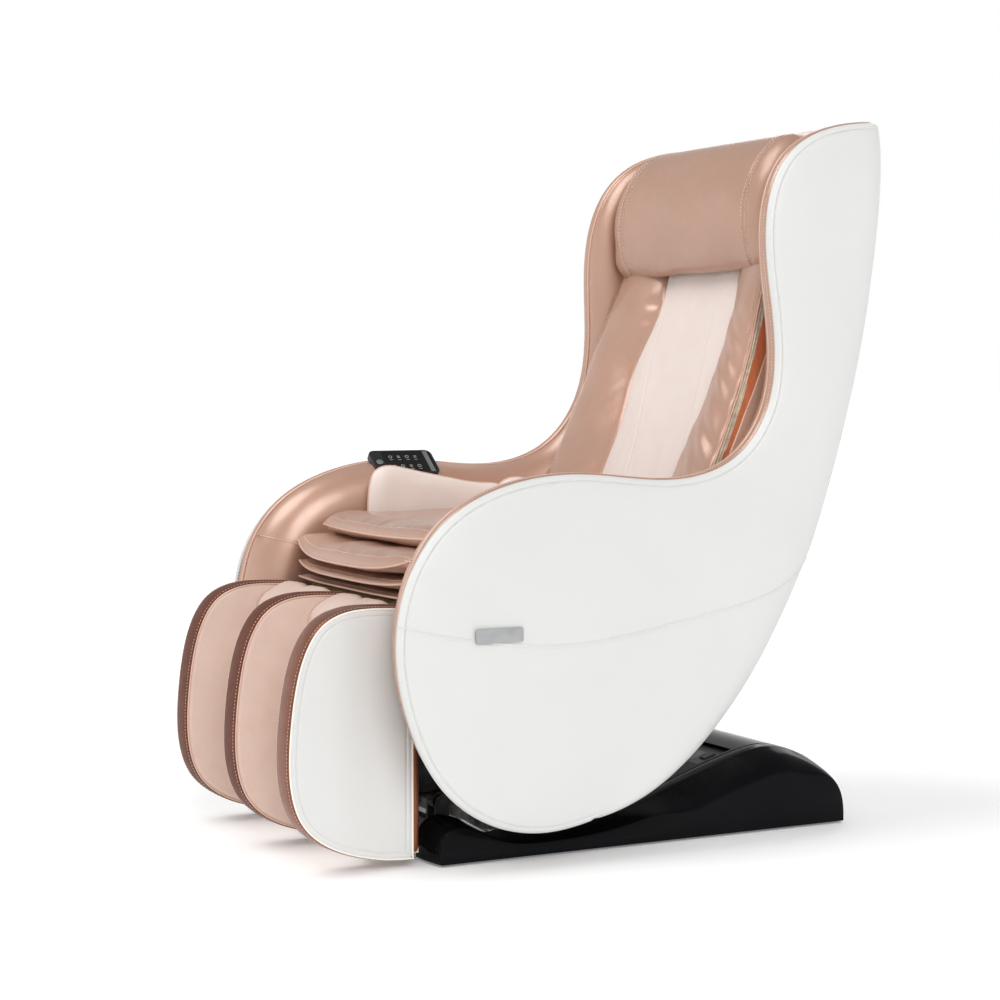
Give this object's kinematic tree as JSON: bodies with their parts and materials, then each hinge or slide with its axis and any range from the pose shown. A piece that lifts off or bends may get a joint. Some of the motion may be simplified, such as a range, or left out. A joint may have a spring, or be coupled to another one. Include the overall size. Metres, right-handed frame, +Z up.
{
  "type": "massage chair",
  "caption": "Padded massage chair: one-piece leather body with curved sides and headrest pillow, reclining on a black sled base, with a swing-up calf rest.",
  "frame": {"origin": "middle of the bounding box's bottom face, on the floor", "axes": "+Z up, the sitter faces -Y, +X is the sitter's left"},
  "size_m": [0.7086, 1.02, 1.122],
  "materials": {
    "white_leather": "smooth satin, fine grain",
    "rose_leather": "pearlescent satin, fine grain",
    "ivory_leather": "soft matte",
    "suede": "napped",
    "plywood": "raw",
    "gloss_black": "high gloss",
    "matte_black": "fine moulded texture",
    "silver_trim": "brushed",
    "frame_steel": "powder coated",
    "rod_chrome": "polished",
    "rubber": "matte"
  },
  "bodies": {
    "base": {"base_runner_left": "gloss_black", "base_runner_right": "gloss_black", "base_deck": "gloss_black", "base_frame_tubes": "frame_steel", "pivot_uprights": "frame_steel", "feet": "rubber", "power_panel": "matte_black", "power_inlet": "matte_black", "control_box": "matte_black", "actuator_clevis": "frame_steel"},
    "power_switch": {"power_switch": "matte_black"},
    "recline_motor": {"recline_motor": "frame_steel"},
    "recline_rod": {"recline_rod": "rod_chrome"},
    "console_button": {"console_button": "silver_trim"},
    "pillow": {"pillow": "rose_leather"},
    "leg_rest": {"leg_wall_right": "ivory_leather", "leg_wall_center": "ivory_leather", "leg_wall_left": "ivory_leather", "calf_pads": "ivory_leather", "leg_back_board": "plywood", "leg_hinge_frame": "frame_steel"},
    "leg_push_rod": {"leg_push_rod": "rod_chrome"},
    "massage_carriage": {"carriage_frame": "frame_steel", "knead_motor": "frame_steel"},
    "knead_arm_left": {"knead_arm_left": "frame_steel"},
    "knead_arm_right": {"knead_arm_right": "frame_steel"},
    "roller_upper_left": {"roller_upper_left": "rubber"},
    "roller_lower_left": {"roller_lower_left": "rubber"},
    "roller_upper_right": {"roller_upper_right": "rubber"},
    "roller_lower_right": {"roller_lower_right": "rubber"},
    "chair_body": {"air_pump": "matte_black", "arm_lining_left": "rose_leather", "arm_lining_right": "rose_leather", "back_bolster_left": "rose_leather", "back_bolster_right": "rose_leather", "back_cover": "white_leather", "back_liner": "suede", "back_pad": "ivory_leather", "console_glass": "gloss_black", "console_housing": "matte_black", "frame_cross_tubes": "frame_steel", "frame_side_left": "frame_steel", "frame_side_right": "frame_steel", "hip_pad_left": "ivory_leather", "hip_pad_right": "ivory_leather", "leg_actuator": "frame_steel", "leg_brackets": "frame_steel", "massage_rails": "frame_steel", "seat_cushion": "rose_leather", "seat_pan": "plywood", "seat_skirt": "rose_leather", "seat_top_flap": "rose_leather", "side_badges": "silver_trim", "side_board_left": "plywood", "side_board_right": "plywood", "side_cover_left": "white_leather", "side_cover_right": "white_leather", "side_spacers": "frame_steel", "thigh_flap": "rose_leather", "top_pad": "rose_leather"}
  },
  "joints": [
    {"name": "body_recline", "type": "hinge", "parent": "base", "child": "chair_body", "pos_m": [0, -0.092, 0.3], "axis": [-1, 0, 0], "range_deg": [0, 28]},
    {"name": "leg_rest_lift", "type": "hinge", "parent": "chair_body", "child": "leg_rest", "pos_m": [0, -0.337, 0.37], "axis": [-1, 0, 0], "range_deg": [0, 80]},
    {"name": "pillow_flip", "type": "hinge", "parent": "chair_body", "child": "pillow", "pos_m": [0, 0.398, 1.114], "axis": [-1, 0, 0], "range_deg": [0, 150]},
    {"name": "carriage_travel", "type": "slide", "parent": "chair_body", "child": "massage_carriage", "axis": [0, 0.354, 0.9353], "range_m": [0, 0.24]},
    {"name": "knead_left_swing", "type": "hinge", "parent": "massage_carriage", "child": "knead_arm_left", "pos_m": [0, 0.29276, 0.5273], "axis": [1, 0, 0], "range_deg": [-8, 8]},
    {"name": "knead_right_swing", "type": "hinge", "parent": "massage_carriage", "child": "knead_arm_right", "pos_m": [0, 0.29276, 0.5273], "axis": [1, 0, 0], "range_deg": [-8, 8]},
    {"name": "recline_motor_swing", "type": "hinge", "parent": "base", "child": "recline_motor", "pos_m": [0, -0.192, 0.06], "axis": [-1, 0, 0], "range_deg": [0, 10.5]},
    {"name": "recline_rod_travel", "type": "slide", "parent": "recline_motor", "child": "recline_rod", "axis": [0, 0.8365, 0.548], "range_m": [-0.081, 0]},
    {"name": "leg_rod_travel", "type": "slide", "parent": "chair_body", "child": "leg_push_rod", "axis": [0, -1, 0], "range_m": [0, 0.106]},
    {"name": "power_switch_rock", "type": "hinge", "parent": "base", "child": "power_switch", "pos_m": [0.158, 0.2504, 0.10191], "axis": [1, 0, 0], "range_deg": [-8, 8]},
    {"name": "console_button_press", "type": "slide", "parent": "chair_body", "child": "console_button", "axis": [-0.6157, 0, -0.788], "range_m": [0, 0.001], "stiffness_N_per_m": 800},
    {"name": "roller_upper_left_spin", "type": "hinge", "parent": "knead_arm_left", "child": "roller_upper_left", "pos_m": [0, 0.29166, 0.58653], "axis": [1, 0, 0], "continuous": true},
    {"name": "roller_lower_left_spin", "type": "hinge", "parent": "knead_arm_left", "child": "roller_lower_left", "pos_m": [0, 0.25272, 0.48365], "axis": [1, 0, 0], "continuous": true},
    {"name": "roller_upper_right_spin", "type": "hinge", "parent": "knead_arm_right", "child": "roller_upper_right", "pos_m": [0, 0.29166, 0.58653], "axis": [1, 0, 0], "continuous": true},
    {"name": "roller_lower_right_spin", "type": "hinge", "parent": "knead_arm_right", "child": "roller_lower_right", "pos_m": [0, 0.25272, 0.48365], "axis": [1, 0, 0], "continuous": true}
  ],
  "couplings": [
    {"joint": "recline_motor_swing", "follows": "body_recline", "ratio": 0.354},
    {"joint": "recline_rod_travel", "follows": "body_recline", "m_per_rad": -0.16165},
    {"joint": "leg_rod_travel", "follows": "leg_rest_lift", "m_per_rad": 0.07452},
    {"joint": "knead_right_swing", "follows": "knead_left_swing", "ratio": -1}
  ]
}
